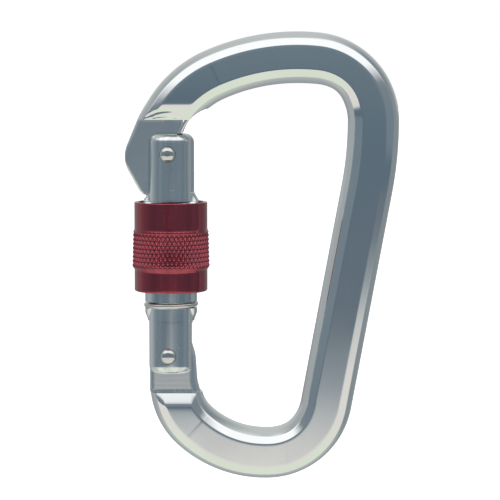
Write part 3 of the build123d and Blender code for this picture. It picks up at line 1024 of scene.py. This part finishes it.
# ---- Locking sleeve --------------------
# A red anodised aluminium nut. The middle is diamond knurled for the fingers, the inside
# is threaded below and bored out above, and the plain bands are turned smooth.
sleeve_bottom_z, sleeve_top_z = span_of(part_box("locking_sleeve"))
sleeve_radius = 9.12
bored_radius = 8.2
bored_depth = 8.8
inner_radius = thread_radius + 0.08
knurl_top_z = sleeve_top_z - 6.7
knurl_bottom_z = sleeve_bottom_z + 5.4
knurl_rise_top = 0.36
knurl_rise_bottom = 0.60
knurl_chamfer = 0.9
diamonds = 50             # round the sleeve
diamond_height = 2.14
knurl_depth = 0.46
samples = 8               # points across a diamond, each way
around = diamonds * samples
rim_round = 0.22
foot_round = 0.45
lead_in = 0.5             # bevel where the thread starts
cut_from, cut_full = 0.55, 1.25     # how far into the band the grooves start and are full
fillet_points = 6
below_band, above_band = 10, 12     # rows on the plain bands
quarter_turn = np.linspace(0, pi / 2, fillet_points)


def fillet(centre_r, centre_z, radius, start):
    """Quarter circle about a centre, as radius and height, from a starting angle."""
    angle = start + quarter_turn
    return np.stack([centre_r + radius * np.cos(angle), centre_z + radius * np.sin(angle)], 1)


def wall_line(radius, start, end, count):
    """Points straight up or down a wall, without its two ends."""
    return np.stack([np.full(count, radius), np.linspace(start, end, count + 2)[1:-1]], 1)


knurl_rows = int(round((knurl_top_z - knurl_bottom_z) / diamond_height * samples))
knurl_z = np.linspace(knurl_bottom_z, knurl_top_z, knurl_rows + 1)
floor_z_in = sleeve_top_z - bored_depth
outside = np.vstack([
    fillet(sleeve_radius - foot_round, sleeve_bottom_z + foot_round, foot_round, -pi / 2),
    wall_line(sleeve_radius, sleeve_bottom_z + foot_round, knurl_bottom_z, below_band),
    np.stack([np.full(len(knurl_z), sleeve_radius), knurl_z], 1),
    wall_line(sleeve_radius, knurl_top_z, sleeve_top_z - rim_round, above_band),
    fillet(sleeve_radius - rim_round, sleeve_top_z - rim_round, rim_round, 0.0),
])
inside = np.vstack([
    fillet(bored_radius + rim_round, sleeve_top_z - rim_round, rim_round, pi / 2),
    wall_line(bored_radius, sleeve_top_z - rim_round, floor_z_in, 8),
    [(bored_radius, floor_z_in), (inner_radius + lead_in, floor_z_in - 0.3),
     (inner_radius, floor_z_in - 0.3 - lead_in)],
    wall_line(inner_radius, floor_z_in - 0.3 - lead_in, sleeve_bottom_z + lead_in, 30),
    [(inner_radius, sleeve_bottom_z + lead_in), (inner_radius + lead_in, sleeve_bottom_z)],
])
sleeve_profile = np.vstack([outside, inside])
radius = np.broadcast_to(sleeve_profile[:, :1], (len(sleeve_profile), around)).copy()
height = np.broadcast_to(sleeve_profile[:, 1:], radius.shape)

# Knurling: two crossing sets of V grooves. Across each set the surface rises and falls as
# a zigzag of the share of a turn plus or minus the height, and the lower of the two wins.
after_band = len(outside) - above_band - fillet_points
band = slice(after_band - len(knurl_z), after_band)
share_up = (knurl_z - knurl_bottom_z)[:, None] / diamond_height
share_round = np.arange(around)[None] / samples


def zigzag(share):
    """Falls from 1 to 0 and back over each whole step."""
    return np.abs(2 * (share % 1) - 1)


pyramid = np.minimum(zigzag(share_round + share_up), zigzag(share_round - share_up))
into_band = np.minimum(knurl_z - knurl_bottom_z, knurl_top_z - knurl_z)[:, None]
band_share = (knurl_z - knurl_bottom_z)[:, None] / (knurl_top_z - knurl_bottom_z)
raised = knurl_rise_bottom + (knurl_rise_top - knurl_rise_bottom) * band_share
raised = raised * np.clip(into_band / knurl_chamfer, 0, 1)
cut_in = smooth(cut_from, cut_full, into_band)
radius[band] = sleeve_radius + raised - knurl_depth * (1 - pyramid) * cut_in
ridges = np.zeros(radius.shape)
ridges[band] = pyramid * cut_in
sleeve_x, sleeve_y = full_circle(radius, around)
sleeve_rows = np.stack([gate_x + sleeve_x, sleeve_y, height], -1)

red_anodised, tree, shader, spot = new_metal("red_anodised_aluminium")
red_deep = (0.32, 0.042, 0.058, 1)
red_plain = (0.42, 0.066, 0.090, 1)
red_worn = (0.86, 0.22, 0.30, 1)
ridge_here = add(tree, "Attribute", attribute_name="ridge").outputs["Fac"]
bands = lines_at(tree, spot, (420.0, 420.0, 3.0), 2.0)
turned = lines_at(tree, spot, (12.0, 12.0, 2400.0))
marks = marks_at(tree, spot, 150.0, 3000.0)
wear = wear_at(tree, 0.53, 0.62)
banding = share_of(tree, bands, 0.38, 0.62)
colour = mix(tree, banding, red_plain, red_deep)
tips = share_of(tree, ridge_here, 0.55, 1.0)
worn_share = weighted(tree, 0.05, (ridge_here, 0.22), (tips, 0.16), (wear, 0.25))
colour = mix(tree, worn_share, colour, red_worn)
roughness = weighted(tree, 0.14, (marks["Smears"], 0.10), (marks["Scratches"], 0.10), (bands, 0.06))
fill(tree, shader, {"Coat Weight": 0.5, "Coat Roughness": 0.09})
join(tree, shader, colour, roughness, bump(tree, turned, 0.0015, bump(tree, bands, 0.008)))

make_piece("knurled_sleeve", [shell(sleeve_rows, ring=True)], red_anodised,
           "sleeve", "locking_sleeve", crease=38.0, masks={"ridge": ridges.ravel()})


# ---- Spring plunger --------------------
# A short stainless pin in the gate's blind bore, turned from drawn rod. Its round nose
# stands out of the floor of the lower fork and rides on the flat top of the tang.
plunger_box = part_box("spring_plunger")
plunger_x, plunger_y, _ = centre_of(plunger_box)
plunger_bottom_z, plunger_top_z = span_of(plunger_box)
plunger_radius = radius_of(plunger_box)
plunger_rim = 0.2
tip_turn = np.linspace(0.03, pi / 2, 18)
plunger_profile = np.vstack([
    np.stack([plunger_radius * np.sin(tip_turn),
              plunger_bottom_z + plunger_radius * (1 - np.cos(tip_turn))], 1),
    wall_line(plunger_radius, plunger_bottom_z + plunger_radius, plunger_top_z - plunger_rim, 6),
    fillet(plunger_radius - plunger_rim, plunger_top_z - plunger_rim, plunger_rim, 0.0),
])
across, back = full_circle(plunger_profile[:, :1], pin_points)
plunger_rows = level_rows(plunger_x + across, plunger_y + back, plunger_profile[:, 1])
make_piece("round_nosed_plunger", [shell(plunger_rows)], stainless_steel,
           "plunger", "spring_plunger", crease=50.0)


# ---- Return spring --------------------
# A coil of hard drawn spring wire behind the plunger, in the same bore, with a thin film
# of oil left on it. It keeps its CAD shape; the real spring shortens as the plunger is pushed in.
spring_steel, tree, shader, spot = new_metal("spring_steel")
wire_light = (0.52, 0.51, 0.49, 1)
wire_dark = (0.30, 0.295, 0.29, 1)
marks = marks_at(tree, spot, 900.0, 2500.0)
oily = share_of(tree, marks["Smears"], 0.40, 0.62)
roughness = weighted(tree, 0.22, (marks["Smears"], 0.14), (marks["Scratches"], 0.10))
join(tree, shader, mix(tree, oily, wire_light, wire_dark), roughness,
     bump(tree, marks["Scratches"], -0.001))
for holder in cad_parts["gate_spring"].material_slots:
    holder.material = spring_steel
